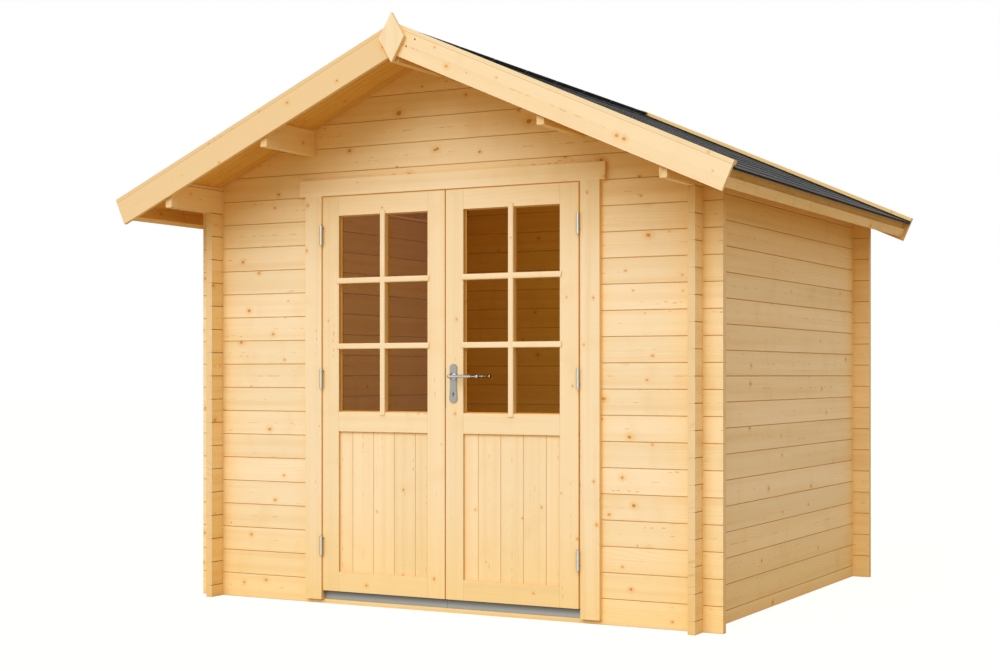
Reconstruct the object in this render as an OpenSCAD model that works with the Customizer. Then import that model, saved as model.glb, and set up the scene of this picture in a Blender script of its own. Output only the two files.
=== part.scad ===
// Log-built garden shed with a gable roof and a pair of half-glazed doors.
// Millimetres, +Z up.  The doors face -Y, and the logs stand on z = 0.
// The origin is under the middle of the whole shed, roof and trim included.

/* [Walls] */
// Width over the outer faces of the side walls
wall_w = 2560; // [2300:10:3000]
// Depth over the outer faces of the front and rear walls
wall_d = 2250; // [1800:10:3200]
// Thickness of a wall log
log_t = 34; // [28:1:45]
// Height of one course of logs
log_h = 114; // [112:1:118]
// How far the logs run on past each corner
log_end = 90; // [60:5:140]
// Full courses beside the doorway
door_courses = 17; // [17:1:18]
// Depth and half height of the V joint between two logs
vee = 3; // [2:0.5:5]

/* [Roof] */
// Slope of the roof in degrees
pitch = 24; // [20:1:28]
// Height of the eave log at its outer face
eave_log_h = 120; // [100:1:125]
// Roof boards in front of the wall face
front_overhang = 396; // [250:1:500]
// Length of the bargeboards down the slope
slope_len = 1696; // [1600:4:1900]
// Thickness of the roof boards
roof_board_t = 18; // [15:1:24]
// Thickness of the roof covering
covering_t = 4; // [3:0.5:8]
// Distance of the two side purlins from the ridge
purlin_x = 710; // [500:5:800]
// Height of a purlin
purlin_h = 114; // [90:1:140]

/* [Roof trim] */
// Thickness of the bargeboards and fascias
trim_t = 18; // [15:1:22]
// Height of a bargeboard without its cap strip
barge_h = 112; // [90:1:140]
// Thickness of the cap strip
cap_t = 18; // [12:1:22]
// Width of the cap strip, front to back
cap_w = 36; // [30:1:60]
// Height of the bargeboard above the roof covering
barge_lift = 14; // [8:1:20]
// Half width of the diamond on the apex
finial_half_w = 64; // [40:1:80]
// Half height of the diamond on the apex
finial_half_h = 110; // [80:1:130]

/* [Doors] */
// Middle of the doorway, right of the middle of the wall
door_x = 32; // [-60:1:60]
// Width of one leaf
leaf_w = 670; // [600:2:720]
// Thickness of a leaf
leaf_t = 36; // [30:1:42]
// Clear gap at the top, the foot and the hinge side of a leaf
gap = 5; // [5:0.5:8]
// Clear gap where the two leaves meet
meeting_gap = 7; // [7:0.5:10]
// Width of the stiles and the top rail
stile_w = 91; // [80:1:110]
// Height of the bottom rail
bottom_rail_h = 93; // [80:1:120]
// Height of the middle rail
mid_rail_h = 93; // [80:1:110]
// Height of the boarded panel
panel_h = 665; // [500:5:720]
// Width of a panel board
panel_board_w = 115; // [90:5:150]
// Width of the casing boards
casing_w = 92; // [70:1:110]
// Thickness of the casing boards and the lintel board
casing_t = 22; // [15:1:28]
// Height of the lintel board
lintel_h = 78; // [60:1:100]

/* [Hidden] */
$fn = 48;

// Walls: front and rear courses start at z = 0, side courses half a log lower.
half_w = wall_w / 2;
head_z = door_courses * log_h;
side_top = (door_courses - 0.5) * log_h;

// Roof: heights follow from where its underside meets the side walls.
sin_p = sin(pitch);
cos_p = cos(pitch);
tan_p = tan(pitch);
ridge_z = side_top + eave_log_h + half_w * tan_p;
roof_front = -front_overhang;
roof_back = wall_d + log_end;
boards_end = slope_len - 33;
covering_end = slope_len + 2;
barge_top = roof_board_t + covering_t + barge_lift;
barge_front = roof_front - trim_t;
finial_front = barge_front - trim_t;
finial_drop = 70;

// Purlins and eave logs have square tops, with a narrow bevel that the roof boards lie on.
seat_w = 9;
seat_play = 0.05;
purlin_chamfer = 2;

// Places front to back are measured from the outer face of the front wall.
face_y = -(finial_front + roof_back + trim_t) / 2;

// Doorway: the frame lines the hole in the wall, and the leaves fill the frame.
frame_t = 28;
frame_depth = 62;
stop_w = 19;
sill_h = 20;
threshold_top = 58;
leaf_face = -16;
leaf_z0 = threshold_top + gap;
leaf_z1 = head_z - gap;
leaf_h = leaf_z1 - leaf_z0;
clear_half = meeting_gap / 2 + leaf_w + gap;
hole_half = clear_half + frame_t;
glass_z0 = leaf_z0 + bottom_rail_h + panel_h + mid_rail_h;
glass_z1 = leaf_z1 - stile_w;
light_w = leaf_w - 2 * stile_w;
glass_t = 4;
glass_in = 20;
panel_t = 14;
panel_in = 11;
rebate = 8;

// The right casing stands back from the lining, and the lintel runs on past both casings.
right_reveal = 6.5;
lintel_past = 33;

// Hinges: three screw-in barrels on each leaf, in front of the casing.
barrel_r = 7;
barrel_h = 45;
barrel_gap = 0.6;
pin_r = 3.5;
pin_play = 0.05;
pin_up = 30;
shank_r = 3;
frame_shank_x = 5.5;
leaf_shank_x = 5.8;
leaf_shank_y = 3;
leaf_shank_up = 12;
hinge_x = clear_half - gap / 2;
hinge_y = -casing_t - barrel_r - 0.5;
hinge_zs = [276, 1070, 1750];

// Lever handle on the right leaf.
spindle_x = door_x + meeting_gap / 2 + 40;
spindle_z = 1081;
key_drop = 78;
plate_t = 3;
plate_rim = 1;
plate_r = 22;
plate_up = 37;
plate_down = 101;
key_r = 4.5;
key_slot = 13;
lever_reach = 42;
lever_len = 150;

spruce = [0.93, 0.80, 0.60];
shaded_spruce = [0.86, 0.70, 0.48];
felt_grey = [0.20, 0.20, 0.21];
steel_grey = [0.66, 0.67, 0.68];
alloy_grey = [0.62, 0.63, 0.64];
glass_tint = [0.55, 0.62, 0.62, 0.5];

// ---- helpers ----

// Bring what is measured from the front wall's face to its place in the shed.
module from_face() {
  translate([0, face_y, 0]) children();
}

// Extrude a section drawn as (y, z) from x0 to x1.
module along_x(x0, x1) {
  translate([x0, face_y, 0]) rotate([90, 0, 90]) linear_extrude(x1 - x0) children();
}

// Extrude a section drawn as (x, z) from y0 to y1.
module along_y(y0, y1) {
  translate([0, face_y + y1, 0]) rotate([90, 0, 0]) linear_extrude(y1 - y0) children();
}

// A box between two corners.
module block(low, high) {
  from_face() translate(low) cube(high - low);
}

// The left-hand twin of a right-hand piece, about the middle of the house.
module mirrored() {
  mirror([1, 0, 0]) children();
}

// The left-hand twin of a right-hand door piece, about the middle of the doorway.
module mirrored_door() {
  translate([door_x, 0, 0]) mirror([1, 0, 0]) translate([-door_x, 0, 0]) children();
}

// ---- logs ----

// Heights of the joints between z0 and z1, for courses that start at first.
function joints(first, z0, z1) =
  [for (k = [0 : 30]) let (z = first + k * log_h) if (z > z0 + vee && z < z1 - vee) z];

// The V cut into one face at each joint; into is 1 or -1.
function face_vees(face, into, zs) =
  [for (z = zs) each [[face, z - vee], [face + into * vee, z], [face, z + vee]]];

function reversed(list) = [for (i = [len(list) - 1 : -1 : 0]) list[i]];

// Section of a stack of logs: V joints in both faces, open ends bevelled for the next stack.
module log_section(z0, z1, first, bevel_low, bevel_high) {
  zs = joints(first, z0, z1);
  low = bevel_low ? vee : 0;
  high = bevel_high ? vee : 0;
  near_face = concat(
    [[low, z0], [0, z0 + low]], face_vees(0, 1, zs), [[0, z1 - high], [high, z1]]
  );
  far_face = [for (p = reversed(near_face)) [log_t - p[0], p[1]]];
  polygon(concat(near_face, far_face));
}

// Where a side wall crosses the front or rear wall, the logs are notched a
// quarter of their height above and below, and lie through each other.
// These blocks are the side logs' share of the crossing at x0, y0.
module side_log_crossings(x0, y0) {
  for (k = [0 : door_courses + 5])
    block([x0, y0, (k - 0.25) * log_h], [x0 + log_t, y0 + log_t, (k + 0.25) * log_h]);
}

// The front and rear logs' share of the same crossing.
module front_log_crossings(x0, y0) {
  for (k = [0 : door_courses + 5])
    block([x0, y0, (k + 0.25) * log_h], [x0 + log_t, y0 + log_t, (k + 0.75) * log_h]);
}

// All the side logs' crossings along a front or rear wall whose outer face is at y0.
module crossings_along_front(y0) {
  side_log_crossings(half_w - log_t, y0);
  side_log_crossings(-half_w, y0);
}

// ---- roof sections, drawn as (x, z) for the right-hand slope ----

// A band lying on the slope, v0 to v1 above the roof's underside and mitred at the ridge.
module mitred_band(v0, v1, u1) {
  polygon([
    [0, ridge_z + v0 / cos_p],
    [u1 * cos_p + v0 * sin_p, ridge_z - u1 * sin_p + v0 * cos_p],
    [u1 * cos_p + v1 * sin_p, ridge_z - u1 * sin_p + v1 * cos_p],
    [0, ridge_z + v1 / cos_p]
  ]);
}

// A band on the slope, square at both ends, u0 to u1 down from the ridge.
module square_band(v0, v1, u0, u1) {
  translate([0, ridge_z]) rotate(-pitch) translate([u0, v0]) square([u1 - u0, v1 - v0]);
}

// Everything under the roof boards.
module under_roof(y0, y1) {
  along_y(y0, y1)
    polygon([[-2 * half_w, 0], [2 * half_w, 0], [2 * half_w, ridge_z - 2 * half_w * tan_p],
      [0, ridge_z], [-2 * half_w, ridge_z - 2 * half_w * tan_p]]);
}

// Height of the seat's low edge on a log whose outer face is at x.
function seat_z(x) = ridge_z - x * tan_p - seat_play;

// Section of a log under the slope: chamfered foot, square top and narrow seat.
module seated_section(x1, z0, chamfer) {
  x0 = x1 - log_t;
  top = seat_z(x1) + seat_w * tan_p;
  polygon([[x0 + chamfer, z0], [x1 - chamfer, z0], [x1, z0 + chamfer], [x1, seat_z(x1)],
    [x1 - seat_w, top], [x0, top], [x0, z0 + chamfer]]);
}

// Section of the ridge purlin, with a roof-shaped top.
module ridge_section() {
  x1 = log_t / 2;
  polygon([[-x1, ridge_z - purlin_h], [x1, ridge_z - purlin_h], [x1, ridge_z - x1 * tan_p],
    [0, ridge_z], [-x1, ridge_z - x1 * tan_p]]);
}

// Notches for the three purlins, open at the top of the gable.
module purlin_notches(y0, y1) {
  half_t = log_t / 2;
  side_z = ridge_z - (purlin_x + half_t) * tan_p - purlin_h;
  for (x = [-purlin_x, purlin_x])
    block([x - half_t, y0, side_z], [x + half_t, y1, ridge_z]);
  block([-half_t, y0, ridge_z - purlin_h], [half_t, y1, ridge_z + log_h]);
}

// ---- walls ----

module front_wall_left() {
  color(spruce) difference() {
    along_x(-half_w - log_end, door_x - hole_half)
      log_section(0, head_z, 0, false, true);
    crossings_along_front(0);
  }
}

module front_wall_right() {
  color(spruce) difference() {
    along_x(door_x + hole_half, half_w + log_end)
      log_section(0, head_z, 0, false, true);
    crossings_along_front(0);
  }
}

module front_gable() {
  color(spruce) difference() {
    intersection() {
      along_x(-half_w - log_end, half_w + log_end)
        log_section(head_z, ridge_z, 0, true, false);
      under_roof(-1, log_t + 1);
    }
    crossings_along_front(0);
    purlin_notches(-1, log_t + 1);
    block([door_x - hole_half, -1, head_z - 1], [door_x + hole_half, log_t + 1, head_z + frame_t]);
  }
}

module rear_wall() {
  color(spruce) difference() {
    intersection() {
      translate([0, wall_d - log_t, 0]) along_x(-half_w - log_end, half_w + log_end)
        log_section(0, ridge_z, 0, false, false);
      under_roof(wall_d - log_t - 1, wall_d + 1);
    }
    crossings_along_front(wall_d - log_t);
    purlin_notches(wall_d - log_t - 1, wall_d + 1);
  }
}

module right_wall() {
  color(shaded_spruce) difference() {
    translate([half_w - log_t, 0, 0]) along_y(-log_end, wall_d + log_end)
      log_section(0, side_top, log_h / 2, false, true);
    front_log_crossings(half_w - log_t, 0);
    front_log_crossings(half_w - log_t, wall_d - log_t);
  }
}

module left_wall() {
  mirrored() right_wall();
}

module right_eave_log() {
  color(spruce) difference() {
    along_y(roof_front, roof_back) seated_section(half_w, side_top, vee);
    front_log_crossings(half_w - log_t, 0);
    front_log_crossings(half_w - log_t, wall_d - log_t);
  }
}

module left_eave_log() {
  mirrored() right_eave_log();
}

// ---- roof ----

module ridge_purlin() {
  color(spruce) along_y(roof_front, roof_back) ridge_section();
}

module right_purlin() {
  x1 = purlin_x + log_t / 2;
  color(spruce) along_y(roof_front, roof_back)
    seated_section(x1, ridge_z - x1 * tan_p - purlin_h, purlin_chamfer);
}

module left_purlin() {
  mirrored() right_purlin();
}

module right_roof_boards() {
  color(shaded_spruce) along_y(roof_front, roof_back) mitred_band(0, roof_board_t, boards_end);
}

module left_roof_boards() {
  mirrored() right_roof_boards();
}

// The covering lies on the boards and turns up behind each bargeboard.
module right_covering() {
  low = roof_board_t;
  high = roof_board_t + covering_t;
  upstand = covering_t;
  joint = 0.05;
  color(felt_grey) {
    along_y(roof_front + upstand + joint, roof_back - upstand - joint) mitred_band(low, high, covering_end);
    along_y(roof_front, roof_front + upstand) mitred_band(low, barge_top, slope_len);
    along_y(roof_back - upstand, roof_back) mitred_band(low, barge_top, slope_len);
  }
}

module left_covering() {
  mirrored() right_covering();
}

module barge_band() {
  mitred_band(barge_top - barge_h, barge_top, slope_len);
}

module cap_band() {
  mitred_band(barge_top, barge_top + cap_t, slope_len);
}

module right_front_bargeboard() {
  color(spruce) along_y(barge_front, roof_front) barge_band();
}

module left_front_bargeboard() {
  mirrored() right_front_bargeboard();
}

module right_rear_bargeboard() {
  color(spruce) along_y(roof_back, roof_back + trim_t) barge_band();
}

module left_rear_bargeboard() {
  mirrored() right_rear_bargeboard();
}

module right_front_cap_strip() {
  color(spruce) along_y(barge_front, barge_front + cap_w) cap_band();
}

module left_front_cap_strip() {
  mirrored() right_front_cap_strip();
}

module right_rear_cap_strip() {
  color(spruce) along_y(roof_back + trim_t - cap_w, roof_back + trim_t) cap_band();
}

module left_rear_cap_strip() {
  mirrored() right_rear_cap_strip();
}

// Diamond that covers the joint of the front bargeboards.
module finial() {
  middle = ridge_z + (barge_top + cap_t) / cos_p - finial_drop;
  color(spruce) along_y(barge_front - trim_t, barge_front) translate([0, middle])
    polygon([[0, -finial_half_h], [finial_half_w, 0], [0, finial_half_h], [-finial_half_w, 0]]);
}

// A batten under the ends of the roof boards, with a fascia on its lower part.
module right_eave_fascia() {
  batten_t = 20;
  batten_h = 60;
  fascia_h = 45;
  color(spruce) along_y(roof_front, roof_back) {
    square_band(-batten_h, 0, boards_end - batten_t, boards_end);
    square_band(-batten_h, fascia_h - batten_h, boards_end, boards_end + trim_t);
  }
}

module left_eave_fascia() {
  mirrored() right_eave_fascia();
}

// ---- door frame, drawn on the right of the doorway ----

stop_y0 = leaf_face + leaf_t + gap;

// Lining beside the leaf, with the stop that the leaf closes to: an L in plan.
module right_jamb() {
  x0 = door_x + clear_half;
  color(spruce) {
    block([x0, 0, sill_h], [x0 + frame_t, frame_depth, head_z]);
    block([x0 - stop_w, stop_y0, threshold_top], [x0 + 1, frame_depth, head_z]);
  }
}

module left_jamb() {
  mirrored_door() right_jamb();
}

// Lining over the leaves, with the stop between those of the jambs.
module door_head() {
  stop_x = clear_half - stop_w;
  color(spruce) {
    block([door_x - hole_half, 0, head_z], [door_x + hole_half, frame_depth, head_z + frame_t]);
    block([door_x - stop_x, stop_y0, head_z - frame_t], [door_x + stop_x, frame_depth, head_z + 1]);
  }
}

module door_sill() {
  color(spruce) block([door_x - hole_half, 0, 0], [door_x + hole_half, frame_depth, sill_h]);
}

// Aluminium strip in two lengths on the sill, set back under the leaves.
module threshold() {
  front = 4;
  half_joint = 0.5;
  for (side = [-1, 1]) {
    x0 = side < 0 ? door_x - clear_half : door_x + half_joint;
    x1 = side < 0 ? door_x - half_joint : door_x + clear_half;
    color(alloy_grey) block([x0, front, sill_h], [x1, frame_depth, threshold_top]);
  }
}

// A casing board, reveal away from the edge of the lining.
module casing(reveal) {
  x0 = door_x + clear_half + reveal;
  color(spruce) block([x0, -casing_t, sill_h], [x0 + casing_w, 0, head_z]);
}

module right_casing() {
  casing(right_reveal);
}

module left_casing() {
  mirrored_door() casing(0);
}

module lintel_board() {
  x1 = clear_half + casing_w + lintel_past;
  color(spruce) block([door_x - x1, -casing_t, head_z], [door_x + x1, 0, head_z + lintel_h]);
}

// ---- leaves, drawn as the right-hand leaf ----

leaf_x0 = door_x + meeting_gap / 2;
leaf_x1 = leaf_x0 + leaf_w;
light_x0 = leaf_x0 + stile_w;
light_x1 = leaf_x1 - stile_w;
panel_z0 = leaf_z0 + bottom_rail_h;
panel_z1 = panel_z0 + panel_h;
light_mid = (light_x0 + light_x1) / 2;
glass_y0 = leaf_face + glass_in;
panel_y0 = leaf_face + panel_in;

// Stiles and rails, grooved for the glass and the panel.
module leaf_frame() {
  difference() {
    block([leaf_x0, leaf_face, leaf_z0], [leaf_x1, leaf_face + leaf_t, leaf_z1]);
    block([light_x0, leaf_face - 1, glass_z0], [light_x1, leaf_face + leaf_t + 1, glass_z1]);
    block([light_x0, leaf_face - 1, panel_z0], [light_x1, leaf_face + leaf_t + 1, panel_z1]);
    leaf_glass();
    panel_blank();
  }
}

// One pane, held in a groove all round.
module leaf_glass() {
  block([light_x0 - rebate, glass_y0, glass_z0 - rebate],
    [light_x1 + rebate, glass_y0 + glass_t, glass_z1 + rebate]);
}

// The panel as a plain slab, groove to groove.
module panel_blank() {
  block([light_x0 - rebate, panel_y0, panel_z0 - rebate],
    [light_x1 + rebate, panel_y0 + panel_t, panel_z1 + rebate]);
}

// Three whole tongued boards between two narrow ones, with a V joint on both faces.
module leaf_panel() {
  difference() {
    panel_blank();
    for (i = [-1.5 : 1.5], y = [panel_y0, panel_y0 + panel_t])
      from_face() translate([light_mid + i * panel_board_w, y, panel_z0]) rotate(45)
        translate([-vee / 2, -vee / 2, 0]) cube([vee, vee, panel_h]);
  }
}

// The half of each hinge that is screwed to the frame, with its pin standing up.
// Its shank reaches back to the casing, or to the lining where the casing stands away.
module frame_hinge_half(z, reach) {
  from_face() translate([hinge_x, hinge_y, z - barrel_h]) {
    cylinder(r = barrel_r, h = barrel_h);
    translate([0, 0, barrel_h - 1]) cylinder(r = pin_r, h = pin_up + 1);
    translate([frame_shank_x, 0, barrel_h / 2]) rotate([-90, 0, 0])
      cylinder(r = shank_r, h = reach);
  }
}

// The half that is screwed to the leaf and turns on the pin.
module leaf_hinge_half(z) {
  from_face() translate([hinge_x, hinge_y, z + barrel_gap]) {
    difference() {
      cylinder(r = barrel_r, h = barrel_h);
      translate([0, 0, -1]) cylinder(r = pin_r + pin_play, h = pin_up + 3);
    }
    translate([-leaf_shank_x, leaf_shank_y, barrel_h / 2 + leaf_shank_up]) rotate([-90, 0, 0])
      cylinder(r = shank_r, h = leaf_face - hinge_y - leaf_shank_y);
  }
}

module frame_hinges() {
  color(steel_grey) for (z = hinge_zs) translate([door_x, 0, 0]) {
    frame_hinge_half(z, -hinge_y);
    mirror([1, 0, 0]) frame_hinge_half(z, -casing_t - hinge_y);
  }
}

module right_leaf_hinges() {
  color(steel_grey) for (z = hinge_zs) translate([door_x, 0, 0]) leaf_hinge_half(z);
}

module left_leaf_hinges() {
  mirrored_door() right_leaf_hinges();
}

module right_leaf_frame() {
  color(spruce) difference() {
    leaf_frame();
    from_face() translate([spindle_x, leaf_face + leaf_t + 1, spindle_z]) rotate([90, 0, 0]) {
      cylinder(r = 9, h = leaf_t + 2);
      translate([0, -key_drop, 0]) linear_extrude(leaf_t + 2) keyhole();
    }
  }
}

module left_leaf_frame() {
  color(spruce) mirrored_door() leaf_frame();
}

module right_leaf_panel() {
  color(spruce) leaf_panel();
}

module left_leaf_panel() {
  color(spruce) mirrored_door() leaf_panel();
}

module right_glass() {
  color(glass_tint) leaf_glass();
}

module left_glass() {
  color(glass_tint) mirrored_door() leaf_glass();
}

// ---- handle ----

module keyhole() {
  slot_w = 4;
  circle(r = key_r);
  translate([-slot_w / 2, -key_slot]) square([slot_w, key_slot]);
}

// Outline of a plate: two round ends of unequal width and a waist nearer the wide one.
module plate_outline(inset) {
  bore_r = 8;
  foot_r = plate_r - inset;
  top_r = foot_r - 2;
  waist = foot_r - 4;
  difference() {
    union() {
      translate([0, plate_up]) circle(r = top_r);
      translate([0, -plate_down]) circle(r = foot_r);
      polygon([[-top_r, plate_up], [-waist, -plate_down / 2], [-foot_r, -plate_down],
        [foot_r, -plate_down], [waist, -plate_down / 2], [top_r, plate_up]]);
    }
    circle(r = bore_r);
    translate([0, -key_drop]) keyhole();
  }
}

// A plate that lies on y = 0 and stands out to y = -plate_t, with a raised middle.
module plate() {
  rotate([90, 0, 0]) {
    linear_extrude(plate_t - plate_rim) plate_outline(0);
    translate([0, 0, plate_t - plate_rim]) linear_extrude(plate_rim) plate_outline(3.5);
  }
}

module handle_plates() {
  color(steel_grey) from_face() translate([spindle_x, leaf_face, spindle_z]) {
    plate();
    translate([0, leaf_t, 0]) mirror([0, 1, 0]) plate();
  }
}

// One grip: rose, neck, rounded corner, and a bar with a narrow waist before its bell-shaped end.
// The neck and the bar start a little off the middle of the ball that joins them.
module grip() {
  rose_r = 18;
  rose_rim = 3;
  rose_h = 7;
  neck_r = 6.5;
  ball_r = 8.5;
  off_ball = 2;
  bar_r = 7.5;
  waist_r = 3.6;
  bar_h = 0.76 * lever_len;
  bell_z = 0.83 * lever_len;
  bell_h = 0.13 * lever_len;
  translate([0, -plate_t - 1, 0]) rotate([90, 0, 0]) {
    cylinder(r = rose_r, h = rose_rim);
    translate([0, 0, rose_rim]) cylinder(r1 = rose_r, r2 = rose_r / 2, h = rose_h);
    cylinder(r = neck_r, h = lever_reach - plate_t - 1 - off_ball);
  }
  translate([0, -lever_reach, 0]) {
    rotate([45, 0, 0]) sphere(r = ball_r);
    rotate([0, 90, 0]) {
      translate([0, 0, off_ball]) cylinder(r1 = bar_r, r2 = neck_r, h = bar_h - off_ball);
      cylinder(r = waist_r, h = bell_z + 5);
      translate([0, 0, bell_z]) cylinder(r1 = waist_r + 0.4, r2 = ball_r, h = bell_h);
      translate([0, 0, bell_z + bell_h])
        cylinder(r1 = ball_r, r2 = neck_r, h = lever_len - bell_z - bell_h);
    }
  }
}

module lever_handle() {
  spindle_r = 5;
  into_rose = 2;
  color(steel_grey) from_face() translate([spindle_x, leaf_face, spindle_z]) {
    grip();
    translate([0, leaf_t, 0]) mirror([0, 1, 0]) grip();
    translate([0, -plate_t - into_rose, 0]) rotate([-90, 0, 0])
      cylinder(r = spindle_r, h = leaf_t + 2 * (plate_t + into_rose));
  }
}

front_wall_left();
front_wall_right();
front_gable();
rear_wall();
left_wall();
right_wall();
left_eave_log();
right_eave_log();
ridge_purlin();
left_purlin();
right_purlin();
left_roof_boards();
right_roof_boards();
left_covering();
right_covering();
left_front_bargeboard();
right_front_bargeboard();
left_rear_bargeboard();
right_rear_bargeboard();
left_front_cap_strip();
right_front_cap_strip();
left_rear_cap_strip();
right_rear_cap_strip();
finial();
left_eave_fascia();
right_eave_fascia();
left_jamb();
right_jamb();
door_head();
door_sill();
threshold();
left_casing();
right_casing();
lintel_board();
frame_hinges();
left_leaf_frame();
left_leaf_panel();
left_glass();
left_leaf_hinges();
right_leaf_frame();
right_leaf_panel();
right_glass();
right_leaf_hinges();
handle_plates();
lever_handle();
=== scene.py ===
"""Looks of the log-built garden shed: timber finishes, roof boards, shingles, window bars and fixings.

Metres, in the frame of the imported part: +Z up, the doors face -Y.
"""

import math

import bmesh
import bpy
from mathutils import Matrix, Vector

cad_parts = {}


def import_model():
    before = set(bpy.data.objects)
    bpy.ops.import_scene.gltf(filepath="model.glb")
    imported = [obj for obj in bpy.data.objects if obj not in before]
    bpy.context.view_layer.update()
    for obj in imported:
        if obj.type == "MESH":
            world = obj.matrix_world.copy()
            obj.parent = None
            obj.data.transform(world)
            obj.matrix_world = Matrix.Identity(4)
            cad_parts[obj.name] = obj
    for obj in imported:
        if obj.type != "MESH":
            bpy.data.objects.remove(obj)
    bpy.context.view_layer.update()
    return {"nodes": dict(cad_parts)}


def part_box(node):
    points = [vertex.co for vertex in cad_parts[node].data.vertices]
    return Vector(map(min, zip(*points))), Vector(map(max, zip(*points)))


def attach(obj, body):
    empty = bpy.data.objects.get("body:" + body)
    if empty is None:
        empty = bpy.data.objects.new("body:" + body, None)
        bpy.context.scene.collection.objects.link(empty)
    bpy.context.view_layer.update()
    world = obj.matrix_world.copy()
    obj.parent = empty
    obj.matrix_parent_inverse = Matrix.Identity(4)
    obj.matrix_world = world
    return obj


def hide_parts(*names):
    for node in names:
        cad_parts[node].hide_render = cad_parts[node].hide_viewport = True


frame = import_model()

MM = 0.001

# ---- sizes of the construction, as in the part's source or read from its nodes ----

LOG_H = 114 * MM
PITCH = math.radians(24)
SIN_P, COS_P = math.sin(PITCH), math.cos(PITCH)
BOARD_T = 18 * MM
COVERING_T = 4 * MM
STILE_W = 91 * MM
KEYHOLE_R = 4.5 * MM
KEYHOLE_RISE = 45 * MM
REBATE = 8 * MM
PANEL_BOARD_W = 115 * MM

RIDGE_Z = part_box("ridge_purlin")[1].z
ROOF_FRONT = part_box("right_roof_boards")[0].y
ROOF_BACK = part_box("right_roof_boards")[1].y
BOARDS_END = (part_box("right_roof_boards")[1].x - BOARD_T * SIN_P) / COS_P
COVERING_END = (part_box("right_covering")[1].x - (BOARD_T + COVERING_T) * SIN_P) / COS_P
WALL_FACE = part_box("front_wall_right")[0].y

X, Y, Z = Vector((1, 0, 0)), Vector((0, 1, 0)), Vector((0, 0, 1))


def down_slope(side):
    """Unit vector down the right (1) or left (-1) slope."""
    return Vector((side * COS_P, 0, -SIN_P))


def off_slope(side):
    """Unit vector out of the right (1) or left (-1) slope."""
    return Vector((side * SIN_P, 0, COS_P))


def on_slope(side, u, y, v):
    """The point u down the slope from the ridge, at y, and v above the underside of the boards."""
    return Vector((0, y, RIDGE_Z)) + down_slope(side) * u + off_slope(side) * v


# ---- shader helpers ----


def paint(code):
    """Linear colour of an sRGB code such as F0D8A8."""
    parts = [int(code[i:i + 2], 16) / 255 for i in (0, 2, 4)]
    return tuple(p / 12.92 if p <= 0.04045 else ((p + 0.055) / 1.055) ** 2.4 for p in parts) + (1,)


def put(tree, kind, inputs=None, **settings):
    """Adds a node. An input is a plain value, or another node's output to link."""
    made = tree.nodes.new(kind)
    for name, value in settings.items():
        setattr(made, name, value)
    for key, value in (inputs or {}).items():
        if isinstance(value, bpy.types.NodeSocket):
            tree.links.new(value, made.inputs[key])
        else:
            made.inputs[key].default_value = value
    return made


def calc(tree, operation, *values, clamp=False):
    made = put(tree, "ShaderNodeMath", dict(enumerate(values)), operation=operation, use_clamp=clamp)
    return made.outputs[0]


def step(tree, value, low, high):
    """0 below low and 1 above high, smooth between; the other way round where low is above high."""
    made = put(
        tree, "ShaderNodeMapRange", {"Value": value, "From Min": low, "From Max": high},
        interpolation_type="SMOOTHSTEP",
    )
    return made.outputs["Result"]


def mix(tree, factor, a, b, mode="MIX"):
    made = put(tree, "ShaderNodeMix", {0: factor, 6: a, 7: b}, data_type="RGBA", blend_type=mode)
    return made.outputs[2]


def mix_value(tree, factor, a, b):
    return put(tree, "ShaderNodeMix", {0: factor, 2: a, 3: b}, data_type="FLOAT").outputs[0]


def point(tree, x, y, z):
    return put(tree, "ShaderNodeCombineXYZ", {0: x, 1: y, 2: z}).outputs[0]


def noise(tree, vector, scale, detail=2.0, rough=0.5):
    made = put(
        tree, "ShaderNodeTexNoise",
        {"Vector": vector, "Scale": scale, "Detail": detail, "Roughness": rough},
    )
    return made.outputs["Fac"]


def new_group(name, inputs, outputs):
    """A shader group with (name, socket type, default) inputs: the tree, its inputs and its outputs."""
    tree = bpy.data.node_groups.new(name, "ShaderNodeTree")
    for label, kind, default in inputs:
        socket = tree.interface.new_socket(label, in_out="INPUT", socket_type="NodeSocket" + kind)
        if default is not None:
            socket.default_value = default
    for label, kind in outputs:
        tree.interface.new_socket(label, in_out="OUTPUT", socket_type="NodeSocket" + kind)
    return tree, tree.nodes.new("NodeGroupInput").outputs, tree.nodes.new("NodeGroupOutput").inputs


def use_group(tree, group, inputs):
    return put(tree, "ShaderNodeGroup", inputs, node_tree=group).outputs


# ---- timber ----

# Colours of the joints between boards, where the logs stand loose, and of the seams in the leaves.
LINE = paint("A0682A")
DARK_LINE = paint("5E3A10")
SEAM = paint("9A6A34")
# Round a knot, and in its middle.
HALO = paint("EDB45E")
KNOT_HEART = paint("96581C")
# Painted shade that tints wood in creases and in deep shade, and the colour of a painted glow in narrow
# slits.
CREASE_SHADE = paint("C08A3A")
SHADE = paint("FFF0BC")
SLIT_GLOW = paint("C0A058")

KNOT_CELL = 0.17
KNOT_STRETCH = 1.25
RINGS_PER_M, RINGS_PER_M_INWARD, RINGS_PER_M_END = 125.0, 90.0, 280.0
FIBRES_PER_M = 420.0
PITH_EDGE, PITH_CORE = 3.2 * MM, 0.8 * MM
SEAM_EDGE, SEAM_CORE = 1.1 * MM, 0.3 * MM
# Reach and strength of the painted crease shade, reach of the painted deep shade, strength of the painted
# glow in slits, and the wood's sheen.
CREASE_REACH, CREASE_SHADE_STRENGTH = 18 * MM, 0.35
SHADE_REACH = 0.6
GLOW_STRENGTH = 0.30
WOOD_SHEEN = 0.03


def on_grain(tree, along, per_along, across, per_across, third=0.0):
    """A place for a texture that has so many units to the metre along the grain and across it."""
    return point(tree, calc(tree, "MULTIPLY", along, per_along),
                 calc(tree, "MULTIPLY", across, per_across), third)


def luck_of(tree, board):
    """Three chance values that belong to a board."""
    made = put(tree, "ShaderNodeTexWhiteNoise", {"W": board}, noise_dimensions="1D")
    return put(tree, "ShaderNodeSeparateColor", {0: made.outputs["Color"]}).outputs


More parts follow.
